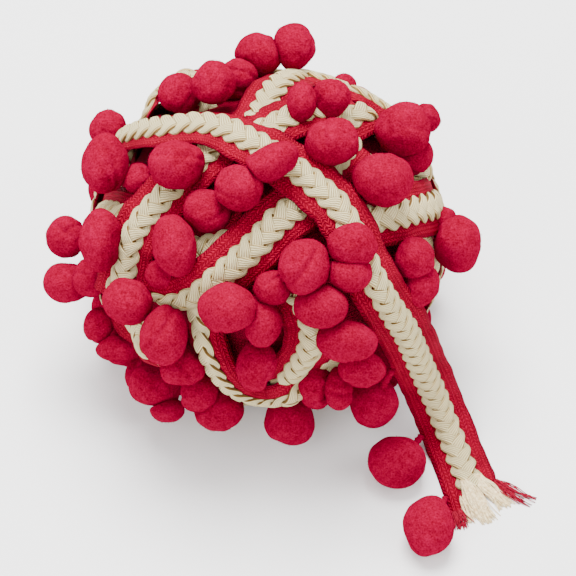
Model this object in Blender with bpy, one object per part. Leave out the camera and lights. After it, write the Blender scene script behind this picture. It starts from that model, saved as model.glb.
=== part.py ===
"""Pompom fringe trim wound into a loose ball, its cut end draped down to the surface.

The trim is a crimson tape with a cream three-strand plait sewn along its middle and pompoms on
short stems along one edge. The ball is one solid of the wound form: a flattened core with the
turns that show raised on it. The last turn is a real sheet that lies over the top of the ball and
falls to the surface. Each row of pompoms stands on a narrow strip beside the edge of its turn.

Places on the ball are written as they are seen from the front, 50 degrees above the surface, in
pixels of a square picture of 576 pixels; the functions below lay them on the ball.
"""

import math
from collections import namedtuple

import bmesh
import bpy
import numpy as np
from mathutils import Vector
from mathutils.bvhtree import BVHTree

MM = 0.001

# Ball: half sizes of its core shell, and the height of its middle over the surface
CORE_HALF = np.array([64.5, 63.5, 56.0]) * MM
BALL_MIDDLE = np.array([0.0, 0.0, 57.5]) * MM
CORE_DIP = -6.0 * MM
FLAT_SPOT_LIFT = 4.4 * MM
FLAT_SPOT_RIM = (0.06, 0.40)
BALL_GRID = 20

# Trim: tape, plait, stems and pompoms
TAPE_WIDTH = 22.0 * MM
TAPE_THICK = 1.6 * MM
TAPE_EDGE = 2.6 * MM
PLAIT_WIDTH = 12.0 * MM
PLAIT_THICK = 2.2 * MM
PLAIT_LOBE = 6.6 * MM
STRIP_WIDTH = 2.2 * MM
STRIP_THICK = 1.3 * MM
STEM_WIDTH = 2.4 * MM
STEM_RISE = 6.0 * MM
STEM_FOOT_HEIGHT = 1.75 * MM
POMPOM_LIFT = 11.0 * MM
LIFT_STEP = 0.25 * MM
MOST_LIFT = 17.0 * MM
POMPOM_HEIGHT_SHARE = 0.82

# Gaps between pieces
GAP = 0.3 * MM
SEAT_GAP = 0.45 * MM
SHEET_LIFT = 4.6 * MM
LAST_TURN_LIFT = SHEET_LIFT + SEAT_GAP + GAP + TAPE_THICK / 2
SEAT_REACH = 17.0 * MM
PACK_SHARE = 0.80

# The picture that the places are read from
VIEW_TILT = math.radians(50.0)
VIEW_DISTANCE = 1.0
PIXEL = 0.39 * MM
PICTURE_MIDDLE = 288.0
BALL_SEEN_AT = (267.0, 238.0)

Turn = namedtuple("Turn", "name lift_mm route")
TURNS = [
    Turn("left", 2.4, [(215, 155), (168, 195), (141, 232), (127, 268), (124, 300)]),
    Turn("arch", 1.6, [(240, 118), (252, 104), (281, 80), (314, 71), (341, 83), (352, 98)]),
    Turn("upper_right", 2.2, [(250, 124), (290, 110), (346, 112), (390, 120), (425, 137), (443, 170)]),
    Turn("behind_right", 0.8, [(320, 92), (368, 99), (405, 110), (432, 128)]),
    Turn("right", 2.4, [(345, 215), (394, 214), (430, 203), (448, 188)]),
    Turn("middle", 2.4, [(318, 196), (283, 220), (256, 248), (215, 279), (186, 301), (165, 322)]),
    Turn("under_middle", 0.8, [(150, 236), (186, 241), (219, 236), (250, 225)]),
    Turn("far_left", 1.2, [(84, 216), (103, 203), (126, 206), (150, 220)]),
    Turn("upper_left", 1.2, [(125, 145), (140, 115), (160, 92), (190, 74)]),
    Turn("lower_loop", 2.0, [(190, 302), (198, 330), (209, 355), (226, 384), (252, 400), (290, 400)]),
    Turn("lower_middle", 1.6, [(292, 285), (299, 319), (300, 347), (284, 377), (262, 396)]),
    Turn("low_right", 0.6, [(318, 340), (329, 363), (345, 385)]),
    Turn("low_left", 1.2, [(96, 300), (112, 322), (140, 349), (165, 362)]),
    Turn("steep_right", 1.0, [(378, 130), (355, 150), (337, 178), (330, 205)]),
    Turn("far_right", 1.2, [(405, 232), (425, 245), (432, 270)]),
]

Loop = namedtuple("Loop", "lean_deg heading_deg shift_mm lift_mm")
LOOPS = [
    Loop(12, 20, 8, -2.2),
    Loop(38, 75, -12, -1.4),
    Loop(62, 130, 10, -0.6),
    Loop(84, 15, -14, -1.8),
    Loop(70, 60, 18, 0.0),
    Loop(50, 170, -4, -1.0),
    Loop(88, 100, 4, 0.4),
]

Pompom = namedtuple("Pompom", "px py radius_mm")
Row = namedtuple("Row", "name pompoms")
ROWS = [
    Row("top_left", [(181, 94, 9), (213, 83, 9.5), (259, 54, 9.5), (293, 44, 9)]),
    Row("left_shoulder", [(108, 127, 8), (105, 163, 11)]),
    Row("top_edge", [(177, 163, 11), (241, 187, 10)]),
    Row("top_pair", [(302, 103, 8), (332, 96, 8)]),
    Row("right_shoulder", [(332, 141, 10.5), (383, 180, 11), (417, 155, 9), (403, 129, 10.5)]),
    Row("left_middle", [(207, 208, 9), (174, 247, 10), (129, 302, 10.5)]),
    Row("left_side", [(67, 237, 8.5), (100, 240, 9.5), (92, 277, 8), (66, 282, 9)]),
    Row("low_left_side", [(95, 326, 8), (115, 338, 8.5), (165, 336, 11), (182, 370, 8.5), (157, 384, 9.5)]),
    Row("low_front", [(198, 392, 8), (218, 410, 9.5), (252, 420, 8.5), (289, 422, 10)]),
    Row("front_left", [(225, 309, 10.5), (262, 326, 9), (257, 365, 9)]),
    Row("front_right", [(273, 288, 8), (305, 267, 10.5), (334, 249, 9.5), (338, 277, 8.5), (322, 306, 10.5),
                        (348, 341, 11)]),
    Row("low_right", [(314, 374, 8), (338, 390, 9), (361, 368, 9)]),
    Row("right_side", [(442, 221, 8), (460, 243, 11)]),
    Row("right_low", [(415, 262, 9), (425, 285, 9.5)]),
]

Ring = namedtuple("Ring", "name height_mm first_deg last_deg pompoms radius_mm lift_mm")
RINGS = [
    Ring("back_low", 22, 16, 168, 7, 10.5, 11),
    Ring("back_middle", 44, 44, 148, 5, 10.5, 11),
    Ring("back_high", 66, 60, 112, 3, 10.0, 7),
    Ring("low_left_corner", 22, 186, 222, 3, 10.0, 8),
    Ring("low_right_corner", 22, 322, 346, 2, 10.5, 5),
]

# Last turn: over the ball as seen, then free, with the height of the tape's middle in millimetres
Fall = namedtuple("Fall", "px py height_mm on_ball")
OVER_BALL = [(127, 136), (145, 130), (195, 124), (238, 135), (276, 157), (319, 189), (351, 230)]
FALLING = [
    Fall(375, 283, 91.0, True),
    Fall(391, 310, 77.0, True),
    Fall(405, 331, 63.0, True),
    Fall(421, 367, 38.0, False),
    Fall(435, 396, 19.0, False),
    Fall(450, 426, 6.0, False),
    Fall(462, 453, 1.3, False),
    Fall(473, 478, 0.9, False),
    Fall(480, 497, 0.9, False),
]
TAIL_POMPOMS = [
    Fall(374, 400, 25.0, False),
    Fall(398, 461, 9.8, False),
    Fall(428, 526, 9.8, False),
]
TAIL_POMPOM_RADIUS = 10.8 * MM
FREE_BELOW = (88.0 * MM, 60.0 * MM)
TAIL_STRIP_TOP = 44.0 * MM

Lock = namedtuple("Lock", "across_mm length_mm turn_deg")
TAPE_LOCKS = [
    Lock(-9.2, 16.0, -42.0),
    Lock(-6.4, 9.0, -20.0),
    Lock(6.4, 7.0, -4.0),
    Lock(8.6, 9.0, 6.0),
]
PLAIT_LOCKS = [
    Lock(-3.2, 13.0, -34.0),
    Lock(2.4, 12.0, -8.0),
]
LOCK_WIDTH = 2.4 * MM
TUFT_WIDTH = 4.6 * MM

CRIMSON = (0.42, 0.012, 0.045, 1.0)
CREAM = (0.80, 0.71, 0.52, 1.0)
HOT_PINK = (0.62, 0.016, 0.10, 1.0)


def clear_scene():
    """Remove every object that the file opened with."""
    for leftover in list(bpy.data.objects):
        bpy.data.objects.remove(leftover)


def cloth_material(name, colour, roughness):
    """A plain cloth finish."""
    material = bpy.data.materials.new(name)
    material.use_nodes = True
    shader = material.node_tree.nodes["Principled BSDF"]
    shader.inputs["Base Color"].default_value = colour
    shader.inputs["Roughness"].default_value = roughness
    shader.inputs["Metallic"].default_value = 0.0
    return material


def new_object(name, verts, faces, collection):
    """A mesh object from points and faces, its faces turned outwards."""
    mesh = bpy.data.meshes.new(name)
    mesh.from_pydata([tuple(v) for v in verts], [], faces)
    form = bmesh.new()
    form.from_mesh(mesh)
    bmesh.ops.recalc_face_normals(form, faces=form.faces)
    form.to_mesh(mesh)
    form.free()
    obj = bpy.data.objects.new(name, mesh)
    collection.objects.link(obj)
    return obj


def unit(vectors):
    """Vectors of length one."""
    return vectors / np.linalg.norm(vectors, axis=-1, keepdims=True)


def smooth_route(points, step):
    """Points a step apart on the Catmull-Rom curve through the given points."""
    knots = np.asarray(points, dtype=float)
    padded = np.vstack([2 * knots[0] - knots[1], knots, 2 * knots[-1] - knots[-2]])
    t = np.linspace(0.0, 1.0, 24, endpoint=False)[:, None]
    pieces = []
    for a, b, c, d in zip(padded, padded[1:], padded[2:], padded[3:]):
        pieces.append(0.5 * (2 * b + (c - a) * t + (2 * a - 5 * b + 4 * c - d) * t**2
                             + (3 * b - a - 3 * c + d) * t**3))
    fine = np.vstack(pieces + [knots[-1:]])
    run = np.concatenate([[0.0], np.cumsum(np.linalg.norm(np.diff(fine, axis=0), axis=1))])
    stations = np.linspace(0.0, run[-1], max(2, round(run[-1] / step) + 1))
    return np.stack([np.interp(stations, run, fine[:, k]) for k in range(fine.shape[1])], axis=1)


# Seeing: the picture's own axes and where the eye stands
VIEW_OUT = np.array([0.0, -math.cos(VIEW_TILT), math.sin(VIEW_TILT)])
VIEW_UP = np.array([0.0, math.sin(VIEW_TILT), math.cos(VIEW_TILT)])
VIEW_RIGHT = np.array([1.0, 0.0, 0.0])
AIM = (BALL_MIDDLE + (PICTURE_MIDDLE - BALL_SEEN_AT[0]) * PIXEL * VIEW_RIGHT
       + (BALL_SEEN_AT[1] - PICTURE_MIDDLE) * PIXEL * VIEW_UP)
EYE = AIM + VIEW_DISTANCE * VIEW_OUT


def sight_line(px, py):
    """The direction from the eye through a pixel."""
    target = AIM + (px - PICTURE_MIDDLE) * PIXEL * VIEW_RIGHT + (PICTURE_MIDDLE - py) * PIXEL * VIEW_UP
    return target - EYE


def at_height(px, py, height):
    """The point seen at a pixel that lies at this height over the surface."""
    line = sight_line(px, py)
    return EYE + line * (height - EYE[2]) / line[2]


def on_ball(px, py, lift):
    """The nearest point seen at a pixel on the core shell grown by a lift, or the nearest to it."""
    half = CORE_HALF + lift
    start = (EYE - BALL_MIDDLE) / half
    line = sight_line(px, py) / half
    a = line @ line
    b = start @ line
    reach = b * b - a * (start @ start - 1.0)
    t = (-b - math.sqrt(max(reach, 0.0))) / a
    return BALL_MIDDLE + half * unit(start + t * line)


def shell_normal(points):
    """The outward direction of the core shell under each point."""
    return unit((np.asarray(points) - BALL_MIDDLE) / CORE_HALF**2)


def loop_route(loop):
    """A whole turn that a slanted plane cuts from the core shell."""
    lean = math.radians(loop.lean_deg)
    heading = math.radians(loop.heading_deg)
    axis = np.array([math.sin(lean) * math.cos(heading), math.sin(lean) * math.sin(heading), math.cos(lean)])
    side = unit(np.cross(axis, [0.3, 0.2, 1.0]))
    other = np.cross(axis, side)
    shift = loop.shift_mm * MM / CORE_HALF.mean()
    angle = np.linspace(0.0, 2 * math.pi, 90)[:, None]
    ring = shift * axis + math.sqrt(1 - shift**2) * (side * np.cos(angle) + other * np.sin(angle))
    return BALL_MIDDLE + CORE_HALF * ring


def rise(distance, far, near):
    """A soft step from 0 at the far distance to 1 at the near one."""
    t = np.clip((far - distance) / (far - near), 0.0, 1.0)
    return t * t * (3 - 2 * t)


def distance_to_route(points, route):
    """The distance of each point to the nearest stretch of a route."""
    a = route[:-1][None]
    along = (route[1:] - route[:-1])[None]
    share = ((points[:, None] - a) * along).sum(-1) / (along**2).sum(-1)
    near = a + np.clip(share, 0.0, 1.0)[..., None] * along
    return np.linalg.norm(points[:, None] - near, axis=-1).min(1)


def raise_turn(heights, points, route, lift, plait):
    """Heights with one turn of tape laid on, and its plait as a ridge."""
    across = distance_to_route(points, route)
    tape = rise(across, TAPE_WIDTH / 2 + TAPE_EDGE / 2, TAPE_WIDTH / 2 - TAPE_EDGE / 2)
    ridge = rise(across, PLAIT_WIDTH / 2 + TAPE_EDGE / 2, PLAIT_WIDTH / 2 - TAPE_EDGE / 2)
    return np.maximum(heights, CORE_DIP + (lift - CORE_DIP) * tape + plait * ridge)


def ball_grid():
    """A cube cut into a grid and blown up into a ball of radius one."""
    form = bmesh.new()
    bmesh.ops.create_cube(form, size=2.0)
    bmesh.ops.subdivide_edges(form, edges=form.edges, cuts=BALL_GRID - 1, use_grid_fill=True)
    cube = np.array([v.co for v in form.verts])
    faces = [[v.index for v in f.verts] for f in form.faces]
    form.free()
    return unit(np.tan(cube * math.pi / 4)), faces


def wound_ball(collection):
    """The wound form: the core shell with every turn raised on it and a flat spot below."""
    rays, faces = ball_grid()
    shell = BALL_MIDDLE + CORE_HALF * rays
    heights = np.full(len(rays), CORE_DIP)
    for loop in LOOPS:
        heights = raise_turn(heights, shell, loop_route(loop), loop.lift_mm * MM, PLAIT_THICK)
    for turn in TURNS:
        route = smooth_route([on_ball(px, py, 0.0) for px, py in turn.route], 4 * MM)
        heights = raise_turn(heights, shell, route, turn.lift_mm * MM, PLAIT_THICK)
    under_last = smooth_route([on_ball(px, py, 0.0) for px, py in OVER_BALL], 4 * MM)
    heights = np.maximum(heights, raise_turn(heights, shell, under_last, SHEET_LIFT, 0.0))
    foot = rise(1 + rays[:, 2], FLAT_SPOT_RIM[1], FLAT_SPOT_RIM[0])
    heights = np.maximum(heights, CORE_DIP + (FLAT_SPOT_LIFT - CORE_DIP) * foot)
    points = BALL_MIDDLE + (CORE_HALF + heights[:, None]) * rays
    below = points[:, 2] < 0.0
    share = BALL_MIDDLE[2] / (BALL_MIDDLE[2] - points[below, 2])
    points[below] = BALL_MIDDLE + (points[below] - BALL_MIDDLE) * share[:, None]
    points[below, 2] = 0.0
    return new_object("wound_ball", points, faces, collection)


def surface_tree(obj):
    """A search tree over an object's faces."""
    mesh = obj.data
    return BVHTree.FromPolygons([v.co.copy() for v in mesh.vertices], [tuple(p.vertices) for p in mesh.polygons])


def seat_on_ball(tree, point, offsets):
    """The point moved out along its ray to the highest spot of the ball at the offsets round it."""
    ray = point - BALL_MIDDLE
    share = 0.0
    for offset in offsets:
        aim = point + offset - BALL_MIDDLE
        hit = tree.ray_cast(Vector(BALL_MIDDLE + 2 * aim), Vector(-unit(aim)))[0]
        share = max(share, np.linalg.norm(np.array(hit) - BALL_MIDDLE) / np.linalg.norm(aim))
    return BALL_MIDDLE + ray * share


def carry_section(centres, sides, outs, section):
    """A closed bar: a section of (across, up) corners carried along its centres, both ends capped."""
    corners = np.asarray(section)
    if corners.ndim == 2:
        corners = np.broadcast_to(corners, (len(centres),) + corners.shape)
    rings = (centres[:, None] + sides[:, None] * corners[..., 0:1] + outs[:, None] * corners[..., 1:2])
    count = corners.shape[1]
    faces = []
    for i in range(len(centres) - 1):
        for k in range(count):
            after = (k + 1) % count
            faces.append([i * count + k, i * count + after, (i + 1) * count + after, (i + 1) * count + k])
    last = (len(centres) - 1) * count
    faces.append(list(range(count))[::-1])
    faces.append(list(range(last, last + count)))
    return rings.reshape(-1, 3), faces


def directions(points):
    """The direction of travel at each point of a route."""
    return unit(np.gradient(points, axis=0))


def box_section(width, low, high):
    """Corners of a rectangle of this width between two heights."""
    return [(-width / 2, low), (width / 2, low), (width / 2, high), (-width / 2, high)]


def strip_on_ball(tree, route):
    """A narrow strip that lies on the ball along a route, and its middle line."""
    along = directions(route)
    outs = shell_normal(route)
    sides = unit(np.cross(along, outs))
    seats = []
    for point, ahead, side in zip(route, along, sides):
        spots = [a * ahead + s * side for a in np.linspace(-5.0 * MM, 5.0 * MM, 9)
                 for s in np.linspace(-2.2 * MM, 2.2 * MM, 7)]
        seats.append(seat_on_ball(tree, point, spots))
    middle = np.array(seats) + outs * (SEAT_GAP + STRIP_THICK / 2)
    section = box_section(STRIP_WIDTH, -STRIP_THICK / 2, STRIP_THICK / 2)
    return carry_section(middle, sides, outs, section), middle


def stem(foot, elbow, head):
    """A four-sided stem from a strip, up to its elbow and on to the middle of its pompom."""
    centres = np.array([foot, elbow, head])
    along = unit(head - foot)
    side = unit(np.cross(along, [0.35, 0.20, 0.91]))
    sides = np.repeat(side[None], 3, axis=0)
    outs = unit(np.cross(sides, along))
    return carry_section(centres, sides, outs, box_section(STEM_WIDTH, -STEM_WIDTH / 2, STEM_WIDTH / 2))


def join_shapes(shapes):
    """Several shapes' points and faces as one list."""
    verts = np.vstack([v for v, _ in shapes])
    faces = []
    start = 0
    for points, sides in shapes:
        faces += [[start + k for k in face] for face in sides]
        start += len(points)
    return verts, faces


def ball_template():
    """The 42 rays and 80 faces of a coarse ball."""
    form = bmesh.new()
    bmesh.ops.create_icosphere(form, subdivisions=2, radius=1.0)
    rays = unit(np.array([v.co for v in form.verts]))
    faces = [[v.index for v in f.verts] for f in form.faces]
    form.free()
    return rays, faces


def pompom(centre, radius, planes, template):
    """A coarse ball whose points are drawn in until they lie inside every plane round it."""
    rays, faces = template
    reach = np.full(len(rays), radius)
    for normal, distance in planes:
        facing = rays @ normal
        toward = facing > 1e-6
        reach[toward] = np.minimum(reach[toward], distance / facing[toward])
    return centre + rays * reach[:, None], faces


def spread_pompoms(centres, radii, fixed):
    """Centres moved apart until neighbours lie at least the packing share of their radii apart."""
    centres = centres.copy()
    for _ in range(60):
        for i in range(len(centres)):
            for j in range(i):
                apart = centres[i] - centres[j]
                distance = np.linalg.norm(apart)
                lack = PACK_SHARE * (radii[i] + radii[j]) - distance
                if lack > 0:
                    push = apart / distance * lack * 0.5
                    centres[i] += push * (0 if fixed[i] else 1)
                    centres[j] -= push * (0 if fixed[j] else 1)
    return centres


def beside_tape(route, last_turn):
    """A route's points moved aside until the strip on them would clear the last turn's tape."""
    clear = TAPE_WIDTH / 2 + STRIP_WIDTH / 2 + 3 * GAP
    moved = []
    for point in route:
        apart = point - last_turn[np.linalg.norm(last_turn - point, axis=1).argmin()]
        out = shell_normal(point)
        apart -= out * (apart @ out)
        distance = np.linalg.norm(apart)
        moved.append(point + apart / distance * max(0.0, clear - distance))
    return np.array(moved)


def pushed_clear(centre, radius, trees):
    """A pompom's centre moved off the pieces beside it, so that little of it has to be pressed flat."""
    for _ in range(4):
        for tree in trees:
            spot = tree.find_nearest(Vector(centre), radius)[0]
            if spot is not None:
                apart = centre - np.array(spot)
                distance = np.linalg.norm(apart)
                centre = centre + apart / distance * max(0.0, PACK_SHARE * radius - distance)
    return centre


def local_seat(corners, centre, out):
    """How far out the ball reaches under a pompom, with room for a strip there."""
    offset = corners - centre
    aside = np.linalg.norm(offset - (offset @ out)[:, None] * out, axis=1)
    under = (aside < SEAT_REACH) & (offset @ out < SEAT_REACH)
    return (corners[under] @ out).max() + SEAT_GAP + STRIP_THICK + GAP


def wall_planes(centre, radius, trees):
    """Planes that keep a pompom clear of the nearest point of each piece beside it."""
    planes = []
    for tree in trees:
        spot = tree.find_nearest(Vector(centre), radius + 2 * MM)[0]
        if spot is not None:
            apart = np.array(spot) - centre
            distance = np.linalg.norm(apart)
            planes.append((apart / distance, distance - GAP))
    return planes


def neighbour_planes(index, centres, radii):
    """Planes half way to each pompom that would touch this one."""
    planes = []
    for other in range(len(centres)):
        apart = centres[other] - centres[index]
        distance = np.linalg.norm(apart)
        if other != index and distance < radii[index] + radii[other] + GAP:
            middle = (distance**2 + radii[index]**2 - radii[other]**2) / (2 * distance)
            planes.append((apart / distance, middle - GAP / 2))
    return planes


def united(base, others, name, material, collection):
    """One closed object from a base shape and sets of shapes that reach into it."""
    scratch = [new_object(name, *base, collection)]
    for k, shapes in enumerate(others):
        tool = new_object(f"{name}_{k}", *join_shapes(shapes), collection)
        union = scratch[0].modifiers.new("union", "BOOLEAN")
        union.operation = "UNION"
        union.solver = "EXACT"
        union.object = tool
        scratch.append(tool)
    bpy.context.view_layer.update()
    seen = scratch[0].evaluated_get(bpy.context.evaluated_depsgraph_get())
    mesh = bpy.data.meshes.new_from_object(seen)
    for obj in scratch:
        bpy.data.objects.remove(obj)
    result = bpy.data.objects.new(name, mesh)
    mesh.materials.clear()
    mesh.materials.append(material)
    collection.objects.link(result)
    return result


def untwisted(along, last_out):
    """Outward directions along a route, carried back from its end with no twist."""
    outs = [last_out]
    for ahead in along[::-1]:
        outs.append(unit(outs[-1] - ahead * (outs[-1] @ ahead)))
    return np.array(outs[:0:-1])


def last_turn_frames():
    """The last turn's middle line with its sides and outs: over the ball, then down and along."""
    over = smooth_route([on_ball(px, py, LAST_TURN_LIFT) for px, py in OVER_BALL], 6 * MM)
    falling = []
    for f in FALLING:
        shell_height = on_ball(f.px, f.py, LAST_TURN_LIFT)[2]
        falling.append(at_height(f.px, f.py, max(f.height_mm * MM, shell_height) if f.on_ball else f.height_mm * MM))
    route = smooth_route(np.vstack([over, falling]), 7 * MM)
    along = directions(route)
    free_outs = untwisted(along, np.array([0.0, 0.0, 1.0]))
    free = rise(route[:, 2], FREE_BELOW[0], FREE_BELOW[1])[:, None]
    outs = unit(shell_normal(route) * (1 - free) + free_outs * free)
    sides = unit(np.cross(along, outs))
    outs = unit(np.cross(sides, along))
    return route, sides, outs


def bowed_section(width, low, high, bow):
    """Corners of a thin section whose two faces bow down towards the edges."""
    across = np.linspace(-0.5, 0.5, 5)
    sag = -4 * bow * across**2
    under = [(a * width, low + s) for a, s in zip(across, sag)]
    above = [(a * width, high + s) for a, s in zip(across[::-1], sag[::-1])]
    return under + above


def sheet_bow(route):
    """How far the tape's edges bow down at each point: round the ball, and flat on the surface."""
    flat = rise(route[:, 2], 70 * MM, 30 * MM)
    return (TAPE_WIDTH / 2)**2 / (2 * (CORE_HALF.mean() + SHEET_LIFT)) * (1 - flat)


def lock_shapes(locks, end, along, side, out, width, thick):
    """Flat tapered locks that fan out from a cut end and lie level."""
    shapes = []
    for lock in locks:
        turn = math.radians(lock.turn_deg)
        heading = math.cos(turn) * along + math.sin(turn) * side
        across = np.cross(heading, out)
        root = end + side * lock.across_mm * MM - along * 2 * MM
        centres = np.array([root, root + heading * (0.6 * lock.length_mm * MM + 2 * MM),
                            root + heading * (lock.length_mm * MM + 2 * MM)])
        widths = np.array([1.0, 0.95, 0.35]) * width
        section = np.array([box_section(w, -thick / 2, thick / 2) for w in widths])
        shapes.append(carry_section(centres, np.repeat(across[None], 3, 0), np.repeat(out[None], 3, 0), section))
    return shapes


def tail_tape(frames, material, collection):
    """The tape of the last turn, with the frayed locks of its cut end."""
    route, sides, outs = frames
    sections = np.array([bowed_section(TAPE_WIDTH, -TAPE_THICK / 2, TAPE_THICK / 2, b) for b in sheet_bow(route)])
    base = carry_section(route, sides, outs, sections)
    along = unit(route[-1] - route[-2])
    locks = lock_shapes(TAPE_LOCKS, route[-1], along, sides[-1], outs[-1], LOCK_WIDTH, 0.8 * TAPE_THICK)
    return united(base, [[lock] for lock in locks], "tail_tape", material, collection)


def tail_plait(frames, material, collection):
    """The plait of the last turn: a ridge whose sides swell lobe by lobe, and its loose tufts."""
    route, sides, outs = frames
    run = np.concatenate([[0.0], np.cumsum(np.linalg.norm(np.diff(route, axis=0), axis=1))])
    stations = np.arange(0.0, run[-1], PLAIT_LOBE / 2)

    def follow(values):
        return np.stack([np.interp(stations, run, values[:, k]) for k in range(3)], axis=1)

    phase = 2 * math.pi * stations / PLAIT_LOBE
    left = PLAIT_WIDTH / 2 * (0.93 + 0.07 * np.cos(phase))
    right = PLAIT_WIDTH / 2 * (0.93 - 0.07 * np.cos(phase))
    low = TAPE_THICK / 2 + SEAT_GAP
    high = low + PLAIT_THICK
    sections = np.array([[(-a, low), (b, low), (b, low + 0.5 * PLAIT_THICK), (0.62 * b, high), (0.0, high - 0.5 * MM),
                          (-0.62 * a, high), (-a, low + 0.5 * PLAIT_THICK)] for a, b in zip(left, right)])
    base = carry_section(follow(route), unit(follow(sides)), unit(follow(outs)), sections)
    along = unit(route[-1] - route[-2])
    end = follow(route)[-1] + outs[-1] * (low + PLAIT_THICK / 2)
    tufts = lock_shapes(PLAIT_LOCKS, end, along, sides[-1], outs[-1], TUFT_WIDTH, 0.8 * PLAIT_THICK)
    return united(base, [[tuft] for tuft in tufts], "tail_plait", material, collection)


def ring_pompoms(ring):
    """Pompom centres evenly round the back of the ball at one height."""
    angles = np.radians(np.linspace(ring.first_deg, ring.last_deg, ring.pompoms))
    half = CORE_HALF + ring.lift_mm * MM
    level = (ring.height_mm * MM - BALL_MIDDLE[2]) / half[2]
    wide = math.sqrt(1 - level**2)
    return BALL_MIDDLE + half * np.stack([wide * np.cos(angles), wide * np.sin(angles),
                                          np.full(len(angles), level)], axis=1)


def hung_at(px, py):
    """Where a pompom seen at a pixel hangs: on the shell, or further out where the pixel misses the shell."""
    line = unit(sight_line(px, py))
    lift = POMPOM_LIFT
    centre = on_ball(px, py, lift)
    while np.linalg.norm(np.cross(line, centre - EYE)) > LIFT_STEP and lift < MOST_LIFT:
        lift += LIFT_STEP
        centre = on_ball(px, py, lift)
    return centre


def all_rows():
    """Each row's name with the centres and radii of its pompoms."""
    rows = []
    for row in ROWS:
        places = [Pompom(*p) for p in row.pompoms]
        rows.append((row.name, np.array([hung_at(p.px, p.py) for p in places]),
                     np.array([p.radius_mm * MM for p in places])))
    for ring in RINGS:
        centres = ring_pompoms(ring)
        rows.append((ring.name, centres, np.full(len(centres), ring.radius_mm * MM)))
    return rows


def feet_of(centres):
    """The points of the core shell under pompoms."""
    rays = (centres - BALL_MIDDLE) / CORE_HALF
    return BALL_MIDDLE + CORE_HALF * unit(rays)


def strip_by_tail(frames):
    """The narrow strip beside the pompom edge of the free end, and its middle line."""
    route, sides, outs = frames
    free = route[:, 2] < TAIL_STRIP_TOP
    away = TAPE_WIDTH / 2 + 2 * GAP + STRIP_WIDTH / 2
    middle = (route + sides * away - outs * sheet_bow(route)[:, None])[free]
    section = box_section(STRIP_WIDTH, -STRIP_THICK / 2, STRIP_THICK / 2)
    return carry_section(middle, sides[free], outs[free], section), middle


def pompom_rows(ball, tape, plait, frames, material, collection):
    """Every row of pompoms on its strip, each pompom pressed flat where it meets what is beside it."""
    tree = surface_tree(ball)
    beside = [surface_tree(tape), surface_tree(plait)]
    rows = all_rows()
    tail_centres = np.array([at_height(p.px, p.py, p.height_mm * MM) for p in TAIL_POMPOMS])
    centres = np.vstack([r[1] for r in rows] + [tail_centres])
    radii = np.concatenate([r[2] for r in rows] + [np.full(len(tail_centres), TAIL_POMPOM_RADIUS)])
    fixed = np.arange(len(centres)) >= len(centres) - len(tail_centres)
    centres = spread_pompoms(centres, radii, fixed)
    corners = np.array([v.co for v in ball.data.vertices])
    template = ball_template()
    for _ in range(3):
        for i in np.flatnonzero(~fixed):
            out = shell_normal(centres[i])
            lack = local_seat(corners, centres[i], out) + POMPOM_HEIGHT_SHARE * radii[i] - centres[i] @ out
            centres[i] = pushed_clear(centres[i] + out * max(0.0, lack), radii[i], beside)
        centres = spread_pompoms(centres, radii, fixed)
    start = 0
    for name, places, _ in rows:
        picked = range(start, start + len(places))
        start += len(places)
        balls = []
        for i in picked:
            out = shell_normal(centres[i])
            seat = local_seat(corners, centres[i], out)
            planes = [(-out, centres[i] @ out - seat), (np.array([0.0, 0.0, -1.0]), centres[i][2])]
            planes += neighbour_planes(i, centres, radii) + wall_planes(centres[i], radii[i], beside)
            balls.append(pompom(centres[i], radii[i], planes, template))
        feet = feet_of(centres[list(picked)])
        route = smooth_route(beside_tape(smooth_route(feet, 7 * MM), frames[0]), 7 * MM)
        strip, middle = strip_on_ball(tree, BALL_MIDDLE + CORE_HALF * unit((route - BALL_MIDDLE) / CORE_HALF))
        stems = []
        for i in picked:
            near = middle[np.linalg.norm(middle - feet[i - picked[0]], axis=1).argmin()]
            out = shell_normal(near)
            stems.append(stem(near, near + out * STEM_RISE, centres[i]))
        united(strip, [stems, balls], f"pompoms_{name}", material, collection)
    strip, middle = strip_by_tail(frames)
    stems = []
    balls = []
    for i in range(start, len(centres)):
        planes = [(np.array([0.0, 0.0, -1.0]), centres[i][2])]
        planes += neighbour_planes(i, centres, radii) + wall_planes(centres[i], radii[i], beside + [tree])
        balls.append(pompom(centres[i], radii[i], planes, template))
        near = middle[np.linalg.norm(middle - centres[i], axis=1).argmin()].copy()
        near[2] = max(near[2], STEM_FOOT_HEIGHT)
        stems.append(stem(near, (near + centres[i]) / 2, centres[i]))
    united(strip, [stems, balls], "pompoms_tail", material, collection)


def main():
    """Build every piece of the trim."""
    clear_scene()
    parts = bpy.data.collections.new("pompom_fringe_trim")
    bpy.context.scene.collection.children.link(parts)
    tape_cloth = cloth_material("tape_crimson", CRIMSON, 0.85)
    cream_cotton = cloth_material("plait_cream", CREAM, 0.8)
    pompom_wool = cloth_material("pompom_pink", HOT_PINK, 0.95)
    ball = wound_ball(parts)
    ball.data.materials.append(tape_cloth)
    frames = last_turn_frames()
    tape = tail_tape(frames, tape_cloth, parts)
    plait = tail_plait(frames, cream_cotton, parts)
    pompom_rows(ball, tape, plait, frames, pompom_wool, parts)


main()
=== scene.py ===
"""The looks of a pompom fringe trim wound into a ball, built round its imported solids.

Lengths are in metres. Places on the ball are given as they are seen in the picture, in pixels of
a 576 pixel square, and laid on the ball by the functions of the first section.
"""

import math
from collections import namedtuple

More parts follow.
